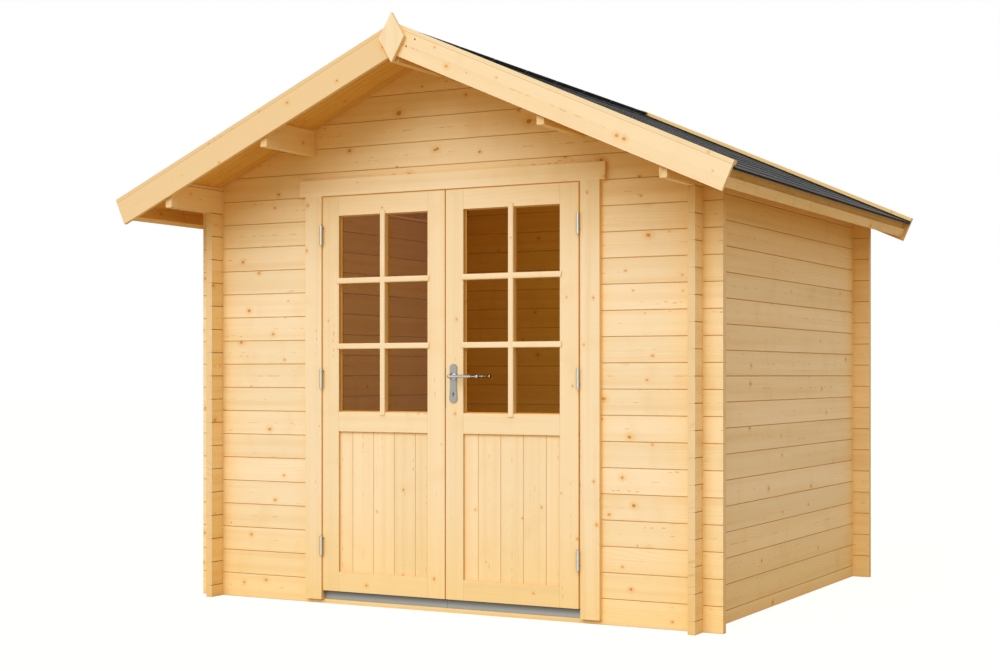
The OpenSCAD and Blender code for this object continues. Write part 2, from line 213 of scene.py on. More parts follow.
def cells_of(tree, spot):
    """Cells one unit wide: the distance to the cell's own point, and three chance values of the cell."""
    made = put(
        tree, "ShaderNodeTexVoronoi", {"Vector": spot, "Scale": 1.0},
        voronoi_dimensions="2D", feature="F1",
    )
    traits = put(tree, "ShaderNodeSeparateColor", {0: made.outputs["Color"]}).outputs
    return made.outputs["Distance"], traits


def spruce_group():
    """Planed spruce with streaks, growth rings, knots, flecks and pith.

    Along, Across and Depth are the place in the board, and Board is its number. Knots is the share of places
    that hold a knot, Figure the strength of the streaks and Spread how much boards differ in tone.
    """
    tree, given, out = new_group(
        "planed spruce",
        [
            ("Along", "Float", 0.0), ("Across", "Float", 0.0), ("Depth", "Float", 0.0),
            ("Board", "Float", 0.0), ("Knots", "Float", 0.5), ("Knot size", "Float", 0.010),
            ("Figure", "Float", 0.5), ("Spread", "Float", 0.06), ("Heart", "Float", 0.0),
            ("Pale", "Color", paint("FAE4C0")), ("Warm", "Color", paint("EDCA94")),
            ("Knot", "Color", paint("D08A3A")),
        ],
        [("Color", "Color"), ("Height", "Float"), ("Roughness", "Float")],
    )
    depth, figure = given["Depth"], given["Figure"]
    luck = luck_of(tree, given["Board"])
    along = calc(tree, "MULTIPLY_ADD", luck[0], 31.0, given["Along"])
    across = calc(tree, "MULTIPLY_ADD", luck[1], 3.0, given["Across"])

    # Knots: only some of the cells hold one, and two in five of those have a dark heart.
    wobble = noise(tree, point(tree, along, across, 0.0), 70.0, 1.0)
    cell_along = calc(tree, "DIVIDE", along, KNOT_CELL * KNOT_STRETCH)
    cell_across = calc(tree, "DIVIDE", across, KNOT_CELL)
    distance, traits = cells_of(tree, point(tree, cell_along, cell_across, 0.0))
    there = calc(tree, "LESS_THAN", traits[0], given["Knots"])
    dark = calc(tree, "LESS_THAN", traits[0], calc(tree, "MULTIPLY", given["Knots"], 0.4))
    size = calc(tree, "MULTIPLY", given["Knot size"], calc(tree, "MULTIPLY_ADD", traits[1], 0.8, 0.3))
    away = calc(tree, "DIVIDE", calc(tree, "MULTIPLY", distance, KNOT_CELL), size)
    away = calc(tree, "ADD", away, calc(tree, "MULTIPLY_ADD", wobble, 0.8, -0.4))
    core = calc(tree, "MULTIPLY", step(tree, away, 1.0, 0.5), there)
    heart = calc(tree, "MULTIPLY", step(tree, away, 0.45, 0.1), dark)
    halo = calc(tree, "MULTIPLY", step(tree, away, 3.2, 0.9), there)

    # Growth rings: nearly straight lines along the board that part round the knots.
    slow = noise(tree, on_grain(tree, along, 0.8, across, 5.0, depth), 1.0, 1.5)
    phase = calc(tree, "MULTIPLY", across, RINGS_PER_M)
    for shift, weight in ((slow, 20.0), (halo, 1.6), (depth, RINGS_PER_M_INWARD)):
        phase = calc(tree, "MULTIPLY_ADD", shift, weight, phase)
    wave = calc(tree, "SINE", calc(tree, "MULTIPLY", phase, math.tau))
    late = calc(tree, "POWER", calc(tree, "MULTIPLY_ADD", wave, 0.5, 0.5), 3.0)

    streak = noise(tree, on_grain(tree, along, 0.55, across, 26.0, depth), 1.0, 3.0)
    fine_depth = calc(tree, "MULTIPLY", depth, FIBRES_PER_M)
    fibre = noise(tree, on_grain(tree, along, 11.0, across, FIBRES_PER_M, fine_depth), 1.0, 2.0)
    cloud = noise(tree, on_grain(tree, along, 2.2, across, 1.0), 3.0, 2.0)

    # Flecks: short dark marks in rows along the grain, in a few places only.
    distance, traits = cells_of(tree, on_grain(tree, along, 26.0, across, 110.0))
    rows = noise(tree, on_grain(tree, along, 2.0, across, 38.0), 1.0, 1.0)
    fleck = calc(tree, "MULTIPLY", calc(tree, "LESS_THAN", traits[0], 0.5), step(tree, rows, 0.66, 0.74))
    fleck = calc(tree, "MULTIPLY", fleck, step(tree, distance, 0.36, 0.12))

    # The pith of most logs shows as a broken line of dashes along the middle of the face.
    dashes = noise(tree, on_grain(tree, along, 26.0, across, 1.0), 1.0, 2.0)
    spells = noise(tree, point(tree, calc(tree, "MULTIPLY", along, 3.1), 7.0, across), 1.0, 1.0)
    pith = calc(tree, "MULTIPLY", step(tree, dashes, 0.50, 0.66), step(tree, spells, 0.36, 0.56))
    pith = calc(tree, "MULTIPLY", pith, calc(tree, "LESS_THAN", luck[1], 0.75))
    pith = calc(tree, "MULTIPLY", pith, given["Heart"])

    color = mix(tree, calc(tree, "MULTIPLY", step(tree, streak, 0.38, 0.78), figure), given["Pale"],
                given["Warm"])
    for mark, strength, tint in (
        (late, calc(tree, "MULTIPLY", figure, 0.45), given["Warm"]),
        (step(tree, cloud, 0.5, 0.8), 0.35, given["Warm"]),
        (fibre, 0.10, given["Warm"]),
        (halo, 0.35, HALO),
        (core, 0.75, given["Knot"]),
        (heart, 0.5, KNOT_HEART),
        (fleck, 0.55, given["Knot"]),
        (pith, 0.5, given["Knot"]),
    ):
        color = mix(tree, calc(tree, "MULTIPLY", mark, strength), color, tint)
    tone = calc(tree, "MULTIPLY_ADD", calc(tree, "SUBTRACT", luck[2], 0.5), given["Spread"], 1.0)
    color = mix(tree, 1.0, color, point(tree, tone, tone, calc(tree, "POWER", tone, 1.6)), "MULTIPLY")
    tree.links.new(color, out["Color"])

    height = calc(tree, "MULTIPLY_ADD", late, 0.35, calc(tree, "MULTIPLY", fibre, 0.5))
    tree.links.new(calc(tree, "MULTIPLY_ADD", core, 0.5, height), out["Height"])
    rough = 0.62
    for mark, change in ((late, -0.08), (core, -0.16), (fibre, 0.1)):
        rough = calc(tree, "MULTIPLY_ADD", mark, change, rough)
    tree.links.new(rough, out["Roughness"])
    return tree


def end_grain_group():
    """Sawn ends of boards: arcs of growth rings round a pith outside the board, and fine radial checks."""
    tree, given, out = new_group(
        "end grain",
        [
            ("Across", "Float", 0.0), ("Depth", "Float", 0.0), ("Board", "Float", 0.0),
            ("Pale", "Color", paint("F6DCAE")), ("Dark", "Color", paint("CEA066")),
        ],
        [("Color", "Color"), ("Height", "Float")],
    )
    luck = luck_of(tree, given["Board"])
    a = calc(tree, "ADD", given["Across"], calc(tree, "MULTIPLY_ADD", luck[0], 0.06, -0.03))
    b = calc(tree, "ADD", given["Depth"], calc(tree, "MULTIPLY_ADD", luck[1], 0.05, 0.02))
    spot = point(tree, a, b, 0.0)
    warp = noise(tree, spot, 25.0, 2.0)
    radius = put(tree, "ShaderNodeVectorMath", {0: spot}, operation="LENGTH").outputs["Value"]
    phase = calc(tree, "MULTIPLY_ADD", warp, 2.0, calc(tree, "MULTIPLY", radius, RINGS_PER_M_END))
    rings = calc(tree, "FRACT", phase)
    rings = calc(tree, "MULTIPLY", step(tree, rings, 0.25, 0.9), step(tree, rings, 1.0, 0.92))
    angle = calc(tree, "ARCTAN2", a, b)
    checks = noise(tree, point(tree, calc(tree, "MULTIPLY", angle, 60.0), radius, 0.0), 1.0, 1.0)
    checks = step(tree, checks, 0.66, 0.74)
    stain = noise(tree, spot, 9.0, 2.0)
    amount = calc(tree, "MULTIPLY_ADD", rings, 0.45, calc(tree, "MULTIPLY", checks, 0.25))
    amount = calc(tree, "MULTIPLY_ADD", stain, 0.25, amount, clamp=True)
    tree.links.new(mix(tree, amount, given["Pale"], given["Dark"]), out["Color"])
    tree.links.new(calc(tree, "MULTIPLY_ADD", rings, -0.4, checks), out["Height"])
    return tree


def courses_group():
    """Numbers the boards of a stack, and marks the joints between them and the pith along their middles."""
    tree, given, out = new_group(
        "board courses",
        [
            ("Place", "Float", 0.0), ("First", "Float", 0.0), ("Board width", "Float", 0.1),
            ("Line width", "Float", 0.002),
        ],
        [("Board", "Float"), ("Line", "Float"), ("Heart", "Float")],
    )
    width = given["Board width"]
    count = calc(tree, "DIVIDE", calc(tree, "SUBTRACT", given["Place"], given["First"]), width)
    tree.links.new(calc(tree, "FLOOR", count), out["Board"])
    off = calc(tree, "ABSOLUTE", calc(tree, "SUBTRACT", count, calc(tree, "ROUND", count)))
    off = calc(tree, "DIVIDE", calc(tree, "MULTIPLY", off, width), given["Line width"])
    tree.links.new(step(tree, off, 0.75, 0.25), out["Line"])
    off = calc(tree, "ABSOLUTE", calc(tree, "SUBTRACT", calc(tree, "FRACT", count), 0.5))
    tree.links.new(step(tree, calc(tree, "MULTIPLY", off, width), PITH_EDGE, PITH_CORE), out["Heart"])
    return tree


SPRUCE = spruce_group()
END_GRAIN = end_grain_group()
COURSES = courses_group()


def new_material(name):
    made = bpy.data.materials.new(name)
    made.use_nodes = True
    made.node_tree.nodes.clear()
    return made, made.node_tree


def spaced(values):
    """Keyword arguments as socket names: Knot_size becomes Knot size."""
    return {name.replace("_", " "): value for name, value in values.items()}


def finish_material(tree, color, roughness, height, bump_depth=0.3 * MM, strength=0.5, **fixed):
    """Principled surface with a bump; the fixed values go to its other sockets."""
    bump = put(tree, "ShaderNodeBump", {"Height": height, "Distance": bump_depth, "Strength": strength})
    shader = put(
        tree, "ShaderNodeBsdfPrincipled",
        {"Base Color": color, "Roughness": roughness, "Normal": bump.outputs["Normal"], **spaced(fixed)},
    )
    put(tree, "ShaderNodeOutputMaterial", {"Surface": shader.outputs[0]})


def finish_wood(tree, color, roughness, height):
    """Matt wood with painted shade, browner in creases and where little light reaches it, and a painted glow
    in narrow slits.
    """
    near = put(tree, "ShaderNodeAmbientOcclusion", {"Distance": CREASE_REACH}, samples=2).outputs["AO"]
    wide = put(tree, "ShaderNodeAmbientOcclusion", {"Distance": SHADE_REACH}, samples=2).outputs["AO"]
    # Painted shade: browner in creases, and darker where the wide occlusion finds little light.
    crease_shade = calc(tree, "MULTIPLY", step(tree, near, 0.75, 0.25), CREASE_SHADE_STRENGTH)
    color = mix(tree, crease_shade, color, CREASE_SHADE, "MULTIPLY")
    color = mix(tree, step(tree, wide, 0.85, 0.35), color, SHADE, "MULTIPLY")
    # Painted light: a faint glow on the wood in narrow slits.
    painted_glow = calc(tree, "MULTIPLY", step(tree, near, 0.18, 0.08), GLOW_STRENGTH)
    finish_material(tree, color, roughness, height, Specular_IOR_Level=WOOD_SHEEN,
                    Emission_Color=SLIT_GLOW, Emission_Strength=painted_glow)


def part_of(tree, vector, axis):
    """How far a place lies along an axis."""
    made = put(tree, "ShaderNodeVectorMath", {0: vector, 1: axis}, operation="DOT_PRODUCT")
    return made.outputs["Value"]


def timber(name, along, across, stack=None, board=0.0, dark_before=None, **look):
    """Spruce whose grain runs along one axis.

    stack is (axis, first, board width, line width) of its boards. In front of the place y = dark_before the
    boards stand loose, and the lines between them are darker. look goes to the spruce group's inputs.
    """
    made, tree = new_material(name)
    place = put(tree, "ShaderNodeTexCoord").outputs
    where = place["Object"]
    look = spaced(look)
    lengthwise = part_of(tree, where, along)
    crosswise = part_of(tree, where, across)
    inward = part_of(tree, where, along.cross(across))
    line = None
    if stack:
        axis, first, width, line_width = stack
        numbered = use_group(
            tree, COURSES,
            {"Place": part_of(tree, where, axis), "First": first, "Board width": width,
             "Line width": line_width},
        )
        board = calc(tree, "ADD", numbered["Board"], board)
        level = calc(tree, "ABSOLUTE", part_of(tree, place["Normal"], axis))
        line = calc(tree, "MULTIPLY", numbered["Line"], step(tree, level, 0.95, 0.85))
        if axis == across:
            look["Heart"] = numbered["Heart"]
    wood = use_group(
        tree, SPRUCE,
        {"Along": lengthwise, "Across": crosswise, "Depth": inward, "Board": board, **look},
    )
    ends = use_group(tree, END_GRAIN, {"Across": crosswise, "Depth": inward, "Board": board})
    facing = calc(tree, "ABSOLUTE", part_of(tree, place["Normal"], along))
    sawn = step(tree, facing, 0.75, 0.92)
    color = mix(tree, sawn, wood["Color"], ends["Color"])
    if line is not None:
        tint = LINE
        if dark_before is not None:
            loose = calc(tree, "LESS_THAN", part_of(tree, where, Y), dark_before)
            tint = mix(tree, loose, LINE, DARK_LINE)
        color = mix(tree, calc(tree, "MULTIPLY", line, mix_value(tree, sawn, 0.8, 0.2)), color, tint)
    height = mix_value(tree, sawn, wood["Height"], ends["Height"])
    finish_wood(tree, color, mix_value(tree, sawn, wood["Roughness"], 0.85), height)
    return made


def leaf_timber(name, leaf):
    """Stiles with upright grain and rails with level grain, told apart by their place in the leaf."""
    low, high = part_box(leaf)
    middle, half = (low.x + high.x) / 2, (high.x - low.x) / 2
    made, tree = new_material(name)
    where = put(tree, "ShaderNodeTexCoord").outputs["Object"]
    x, y, z = put(tree, "ShaderNodeSeparateXYZ", {0: where}).outputs
    from_middle = calc(tree, "ABSOLUTE", calc(tree, "SUBTRACT", x, middle))
    stile = calc(tree, "GREATER_THAN", from_middle, half - STILE_W)
    from_seam = calc(tree, "ABSOLUTE", calc(tree, "SUBTRACT", from_middle, half - STILE_W))
    seam = step(tree, from_seam, SEAM_EDGE, SEAM_CORE)
    # Every rail and every stile is a board of its own.
    rail_number = calc(tree, "FLOOR", calc(tree, "MULTIPLY", z, 1.6))
    stile_number = calc(tree, "GREATER_THAN", x, middle)
    board = mix_value(tree, stile, calc(tree, "ADD", rail_number, 20.0 + middle),
                      calc(tree, "ADD", stile_number, 40.0 + middle))
    wood = use_group(
        tree, SPRUCE,
        {"Along": mix_value(tree, stile, x, z), "Across": mix_value(tree, stile, z, x), "Depth": y,
         "Board": board, "Knots": 0.35, "Knot size": 0.006, "Figure": 0.42, "Spread": 0.05,
         "Pale": paint("F8E0B8")},
    )
    color = mix(tree, calc(tree, "MULTIPLY", seam, 0.35), wood["Color"], SEAM)
    finish_wood(tree, color, wood["Roughness"], wood["Height"])
    return made


# ---- other materials ----

GRANULES_PER_M = 650.0
SCRATCHES_PER_M, SCRATCHES_PER_M_ALONG = 900, 30


def felt_material():
    """Dark mineral-faced shingle: fine granules, and a tone of its own for each tab."""
    made, tree = new_material("roof shingle")
    where = put(tree, "ShaderNodeTexCoord").outputs["Object"]
    grains = put(tree, "ShaderNodeTexVoronoi", {"Vector": where, "Scale": GRANULES_PER_M}, feature="F1")
    grain_tone = put(tree, "ShaderNodeSeparateColor", {0: grains.outputs["Color"]}).outputs[0]
    tab = put(tree, "ShaderNodeAttribute", attribute_name="tab").outputs["Fac"]
    patches = noise(tree, where, 3.0, 3.0)
    tone = calc(tree, "MULTIPLY_ADD", grain_tone, 0.5, calc(tree, "MULTIPLY", tab, 0.35))
    tone = calc(tree, "MULTIPLY_ADD", step(tree, patches, 0.3, 0.8), 0.25, tone, clamp=True)
    color = mix(tree, tone, paint("26272A"), paint("5C5C5E"))
    height = calc(tree, "SUBTRACT", 1.0, grains.outputs["Distance"])
    rough = calc(tree, "MULTIPLY_ADD", grain_tone, 0.15, 0.8)
    finish_material(tree, color, rough, height, bump_depth=0.6 * MM, strength=0.6, Specular_IOR_Level=0.3)
    return made


def metal(name, tone, rough, along, scratch, shadow_box=None):
    """Satin metal with fine lines along one axis, and painted shade where it turns away from the eye.

    Where a box is given for the shadow, upright faces get a painted shadow, darker towards the box's top.
    """
    made, tree = new_material(name)
    place = put(tree, "ShaderNodeTexCoord").outputs
    where = place["Object"]
    stretch = Vector((SCRATCHES_PER_M,) * 3) - along * (SCRATCHES_PER_M - SCRATCHES_PER_M_ALONG)
    stretched = put(tree, "ShaderNodeVectorMath", {0: where, 1: stretch}, operation="MULTIPLY").outputs[0]
    lines = noise(tree, stretched, 1.0, 2.0)
    cloudy = noise(tree, where, 25.0, 2.0)
    color = mix(tree, calc(tree, "MULTIPLY", lines, scratch), paint(tone), paint("6E6C68"))
    # Painted shadow: upright faces darken towards the box's top, where the leaf above shades the threshold.
    if shadow_box is not None:
        low, high = shadow_box[0].z, shadow_box[1].z
        painted_shadow = step(tree, part_of(tree, where, Z), low + 0.15 * (high - low), high)
        upright = step(tree, calc(tree, "ABSOLUTE", part_of(tree, place["Normal"], Z)), 0.7, 0.3)
        painted_shadow = calc(tree, "MULTIPLY", painted_shadow, calc(tree, "MULTIPLY", upright, 0.7))
        color = mix(tree, painted_shadow, color, paint("3E3C38"))
    # Painted shade: darker where the surface turns away from the eye.
    painted_edge_shade = put(tree, "ShaderNodeLayerWeight", {"Blend": 0.5}).outputs["Facing"]
    painted_edge_shade = calc(tree, "MULTIPLY", step(tree, painted_edge_shade, 0.2, 0.65), 0.85)
    color = mix(tree, painted_edge_shade, color, paint("34322E"))
    value = calc(tree, "MULTIPLY_ADD", lines, 0.18, rough - 0.08)
    value = calc(tree, "MULTIPLY_ADD", cloudy, 0.12, value)
    finish_material(tree, color, value, lines, bump_depth=0.05 * MM, strength=0.3, Metallic=1.0)
    return made


def glass_material():
    """Clear pane, without reflections in the left leaf. Light passes straight through it into the room."""
    made, tree = new_material("window glass")
    where = put(tree, "ShaderNodeTexCoord").outputs["Object"]
    ripple = noise(tree, where, 4.0, 1.0)
    on_left = calc(tree, "LESS_THAN", part_of(tree, where, X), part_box("right_glass")[0].x)
    bump = put(tree, "ShaderNodeBump", {"Height": ripple, "Distance": 0.4 * MM, "Strength": 0.2})
    pane = put(
        tree, "ShaderNodeBsdfPrincipled",
        {"Base Color": paint("F4EAD4"), "Roughness": 0.0, "IOR": 1.45, "Transmission Weight": 1.0,
         "Specular Tint": mix(tree, on_left, paint("000000"), paint("A0A0A0")),
         "Normal": bump.outputs["Normal"]},
    )
    clear = put(tree, "ShaderNodeBsdfTransparent", {"Color": paint("F2E4C0")})
    path = put(tree, "ShaderNodeLightPath").outputs
    passing = calc(tree, "MAXIMUM", path["Is Shadow Ray"], path["Is Diffuse Ray"])
    either = put(tree, "ShaderNodeMixShader", {0: passing, 1: pane.outputs[0], 2: clear.outputs[0]})
    put(tree, "ShaderNodeOutputMaterial", {"Surface": either.outputs[0]})
    return made


# Widths of the joints between boards, as drawn on their faces.
FRONT_JOINT, LEFT_JOINT, RIGHT_JOINT = 2.0 * MM, 2.8 * MM, 2.4 * MM
EAVE_JOINT, SLOPE_JOINT, SOFFIT_JOINT, PANEL_JOINT = 1.4 * MM, 1.1 * MM, 2.4 * MM, 1.0 * MM
EAVE_PIECE = 0.24

FRONT_COURSES = (Z, 0.0, LOG_H, FRONT_JOINT)
FRONT_LOGS = timber("front log spruce", X, Z, FRONT_COURSES, board=3.0, Knots=0.78, Figure=0.5)
GABLE_LOGS = timber("gable log spruce", X, Z, FRONT_COURSES, board=53.0,
                    Knots=1.0, Figure=0.55, Knot=paint("B87430"), Knot_size=0.013)
REAR_LOGS = timber("rear log spruce", X, Z, FRONT_COURSES, board=203.0, Knots=0.45, Figure=0.5)
LEFT_LOGS = timber("left log spruce", Y, Z, (Z, LOG_H / 2, LOG_H, LEFT_JOINT), board=403.0,
                   dark_before=WALL_FACE, Knots=0.35, Figure=0.5)
RIGHT_LOGS = timber("right log spruce", Y, Z, (Z, LOG_H / 2, LOG_H, RIGHT_JOINT), board=603.0,
                    dark_before=WALL_FACE, Knots=0.25, Figure=0.6)
PURLIN = timber("purlin spruce", Y, Z, board=800.0, Knots=0.7, Figure=0.5)
# Pale and Warm more orange than the walls' spruce: painted shade under the eaves.
ALONG_EAVE = timber("fascia spruce", Y, Z, (Y, 0.0, EAVE_PIECE, EAVE_JOINT), board=830.0,
                    Knots=0.5, Figure=0.5, Spread=0.05, Pale=paint("F4D6A4"), Warm=paint("E2B67A"))
LEVEL_TRIM = timber("level trim spruce", X, Z, board=860.0, Knots=0.35, Figure=0.45)
UPRIGHT_TRIM = timber("upright trim spruce", Z, X, board=890.0, Knots=0.45, Figure=0.42, Knot_size=0.008)
# A bargeboard's top edge above the underside of the roof boards, and its height.
BARGE_TOP = 36 * MM
BARGE_H = 112 * MM
SLOPE_TRIM = {
    side: timber(f"{name} slope spruce", down_slope(side), off_slope(side),
                 (off_slope(side), RIDGE_Z * COS_P + BARGE_TOP, BARGE_H, SLOPE_JOINT), board=900.0 + 7 * side,
                 Knots=1.0, Figure=0.5, Pale=paint(pale), Knot_size=0.008)
    for side, name, pale in ((-1, "left", "EACB9C"), (1, "right", "F8E0B8"))
}
SOFFIT_W = 88 * MM
SOFFIT_COUNT = round((ROOF_BACK - ROOF_FRONT) / SOFFIT_W)
SOFFIT_PITCH = (ROOF_BACK - ROOF_FRONT) / SOFFIT_COUNT
# Pale and Warm darker and more orange than the walls' spruce: painted shade under the roof.
SOFFIT = {
    side: timber(f"{name} roof board spruce", down_slope(side), Y,
                 (Y, ROOF_FRONT, SOFFIT_PITCH, SOFFIT_JOINT), board=1000.0 + 50 * side,
                 Knots=0.5, Figure=0.55, Spread=0.10, Pale=paint("EEC67E"), Warm=paint("DCA552"))
    for side, name in ((-1, "left"), (1, "right"))
}
PANEL = {}
LEAF = {}
for leaf_side in ("left", "right"):
    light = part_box(f"{leaf_side}_leaf_panel")
    panel_middle = (light[0].x + light[1].x) / 2
    PANEL[leaf_side] = timber(
        f"{leaf_side} panel spruce", Z, X,
        (X, panel_middle - PANEL_BOARD_W / 2, PANEL_BOARD_W, PANEL_JOINT), board=1100.0 + panel_middle,
        Knots=0.55, Figure=0.45, Spread=0.07, Pale=paint("F8E0B8"), Knot_size=0.006,
    )
    LEAF[leaf_side] = leaf_timber(f"{leaf_side} leaf spruce", f"{leaf_side}_leaf_frame")
FELT = felt_material()
GLASS = glass_material()
HINGE_STEEL = metal("hinge steel", "D6D6CE", 0.32, Z, 0.3)
HANDLE_ALLOY = metal("handle alloy", "A5A39D", 0.30, Z, 0.3)
# A lighter copy of the handle alloy: painted light on the lever.
LEVER_ALLOY = metal("lever alloy", "B6B4AE", 0.28, X, 0.2)
# Its upright faces get a painted shadow at the top, below the leaf.
THRESHOLD_ALLOY = metal("threshold alloy", "A3A19A", 0.45, X, 0.3, shadow_box=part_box("threshold"))
# Near black: steel of the lock, and painted shade in the keyholes.
LOCK_STEEL_AND_SHADE = metal("lock steel and shade", "2E2A26", 0.6, Z, 0.3)
SCREW_STEEL = metal("screw steel", "8A6A40", 0.45, Z, 0.2)

NODE_FINISH = {
    FRONT_LOGS: ["front_wall_left", "front_wall_right"],
    GABLE_LOGS: ["front_gable"],
    REAR_LOGS: ["rear_wall"],
    LEFT_LOGS: ["left_wall", "left_eave_log"],
    RIGHT_LOGS: ["right_wall", "right_eave_log"],
    PURLIN: ["ridge_purlin", "left_purlin", "right_purlin"],
    SOFFIT[-1]: ["left_roof_boards"],
    SOFFIT[1]: ["right_roof_boards"],
    FELT: ["left_covering", "right_covering"],
    SLOPE_TRIM[-1]: ["left_front_bargeboard", "left_rear_bargeboard", "left_front_cap_strip",
                     "left_rear_cap_strip"],
    SLOPE_TRIM[1]: ["right_front_bargeboard", "right_rear_bargeboard", "right_front_cap_strip",
                    "right_rear_cap_strip"],
    ALONG_EAVE: ["left_eave_fascia", "right_eave_fascia"],
    UPRIGHT_TRIM: ["finial", "left_jamb", "right_jamb", "left_casing", "right_casing"],
    LEVEL_TRIM: ["door_head", "door_sill", "lintel_board"],
    THRESHOLD_ALLOY: ["threshold"],
    LEAF["left"]: ["left_leaf_frame"],
    LEAF["right"]: ["right_leaf_frame"],
    PANEL["left"]: ["left_leaf_panel"],
    PANEL["right"]: ["right_leaf_panel"],
    GLASS: ["left_glass", "right_glass"],
    HINGE_STEEL: ["frame_hinges", "left_leaf_hinges", "right_leaf_hinges"],
    HANDLE_ALLOY: ["handle_plates"],
    LEVER_ALLOY: ["lever_handle"],
}


def dress_nodes():
    """Gives every CAD node its finish."""
    for material, names in NODE_FINISH.items():
        for name in names:
            mesh = frame["nodes"][name].data
            mesh.materials.clear()
            mesh.materials.append(material)


# ---- making and repeating pieces ----


def skin(bm, rings):
    """Closes a bar whose ends are two rings of corners."""
    bm.faces.new(rings[0])
    bm.faces.new(list(reversed(rings[1])))
    for i in range(len(rings[0])):
        j = (i + 1) % len(rings[0])
        bm.faces.new([rings[0][j], rings[0][i], rings[1][i], rings[1][j]])


def prism(bm, section, start, end, side, up):
    """A bar from start to end, with a closed section given in side and up."""
    skin(bm, [[bm.verts.new(place + side * s + up * t) for s, t in section] for place in (start, end)])


def mesh_of(name, build, finish=None):
    """A mesh built by a function that fills a bmesh, with its faces pointing outwards."""
    bm = bmesh.new()
    build(bm)
    bmesh.ops.recalc_face_normals(bm, faces=bm.faces)
    mesh = bpy.data.meshes.new(name)
    bm.to_mesh(mesh)
    bm.free()
    if finish:
        mesh.materials.append(finish)
    return mesh


def joined(name, meshes, finish):
    """Several meshes as one."""
    bm = bmesh.new()
    for each in meshes:
        bm.from_mesh(each)
    mesh = bpy.data.meshes.new(name)
    bm.to_mesh(mesh)
    bm.free()
    mesh.materials.clear()
    mesh.materials.append(finish)
    for face in mesh.polygons:
        face.material_index = 0
    return mesh


def piece(name, mesh, body):
    """Places a finished mesh as a piece that rides on a body."""
    made = bpy.data.objects.new(name, mesh)
    bpy.context.scene.collection.objects.link(made)
    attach(made, body)
    return made


def row_tree():
    """Geometry nodes that repeat the modified piece in a row, each one nudged a little."""
    tree = bpy.data.node_groups.new("row of pieces", "GeometryNodeTree")
    face = tree.interface
    face.new_socket("Piece", in_out="INPUT", socket_type="NodeSocketGeometry")
    for label, kind in (("Count", "Int"), ("Step", "Vector"), ("Nudge", "Vector"), ("Seed", "Int"),
                        ("Finish", "Material")):
        face.new_socket(label, in_out="INPUT", socket_type="NodeSocket" + kind)
    face.new_socket("Row", in_out="OUTPUT", socket_type="NodeSocketGeometry")
    given = tree.nodes.new("NodeGroupInput").outputs
    line = put(
        tree, "GeometryNodeMeshLine", {"Count": given["Count"], "Offset": given["Step"]}, mode="OFFSET"
    )
    back = put(tree, "ShaderNodeVectorMath", {0: given["Nudge"], "Scale": -1.0}, operation="SCALE")
    luck = put(
        tree, "FunctionNodeRandomValue", {0: back.outputs[0], 1: given["Nudge"], "Seed": given["Seed"]},
        data_type="FLOAT_VECTOR",
    )
    moved = put(
        tree, "GeometryNodeSetPosition", {"Geometry": line.outputs["Mesh"], "Offset": luck.outputs[0]}
    )
    placed = put(
        tree, "GeometryNodeInstanceOnPoints",
        {"Points": moved.outputs["Geometry"], "Instance": given["Piece"]},
    )
    tone = put(tree, "FunctionNodeRandomValue", {"Seed": given["Seed"]}, data_type="FLOAT")
    marked = put(
        tree, "GeometryNodeStoreNamedAttribute",
        {"Geometry": placed.outputs["Instances"], "Name": "tab", "Value": tone.outputs[1]},
        data_type="FLOAT", domain="INSTANCE",
    )
    real = put(tree, "GeometryNodeRealizeInstances", {"Geometry": marked.outputs[0]})
    painted = put(
        tree, "GeometryNodeSetMaterial",
        {"Geometry": real.outputs["Geometry"], "Material": given["Finish"]},
    )
    sink = tree.nodes.new("NodeGroupOutput")
    tree.links.new(painted.outputs["Geometry"], sink.inputs["Row"])
    sockets = {s.name: s.identifier for s in face.items_tree if s.in_out == "INPUT"}
    return tree, sockets


ROW, ROW_INPUTS = row_tree()


def row_of(mesh, count, offset, finish, nudge=(0, 0, 0), seed=1):
    """A mesh repeated in a row, as one plain mesh."""
    holder = bpy.data.objects.new(mesh.name, mesh)
    bpy.context.scene.collection.objects.link(holder)
    modifier = holder.modifiers.new("row", "NODES")
    modifier.node_group = ROW
    values = {"Count": count, "Step": offset, "Nudge": nudge, "Seed": seed, "Finish": finish}
    for label, value in values.items():
        modifier[ROW_INPUTS[label]] = value
    graph = bpy.context.evaluated_depsgraph_get()
    made = bpy.data.meshes.new_from_object(holder.evaluated_get(graph))
    made.name = mesh.name + "_row"
    bpy.data.objects.remove(holder)
    return made


# ---- roof ----

BOARD_GAP = 0.4 * MM
BOARD_BEVEL = 3.5 * MM


def roof_boards(side, name):
    """Tongued boards down one slope, with a V joint between each two on the underside."""
    bevel = BOARD_BEVEL
    width = SOFFIT_PITCH - BOARD_GAP
    section = [(0, bevel), (bevel, 0), (width - bevel, 0), (width, bevel), (width, BOARD_T), (0, BOARD_T)]

    def build(bm):
        rings = []
        for u_of in (lambda v: -v * math.tan(PITCH), lambda v: BOARDS_END):
            rings.append([bm.verts.new(on_slope(side, u_of(v), ROOF_FRONT + s, v)) for s, v in section])
        skin(bm, rings)

    board = mesh_of(f"{name}_roof_board", build)
    made = row_of(board, SOFFIT_COUNT, Y * SOFFIT_PITCH, SOFFIT[side])
    boards = piece(f"{name}_tongued_roof_boards", made, "cabin")
    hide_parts(f"{name}_roof_boards")


SHINGLE_T = 3.2 * MM
EXPOSURE = 142 * MM
TAB_LAP = 45 * MM
TAB_LIFT = SHINGLE_T * 1.35
TAB_COUNT = 8
TAB_SLOT = 7 * MM
SHINGLE_FRONT = ROOF_FRONT + COVERING_T
SHINGLE_BACK = ROOF_BACK - COVERING_T
TAB_PITCH = (SHINGLE_BACK - SHINGLE_FRONT) / TAB_COUNT


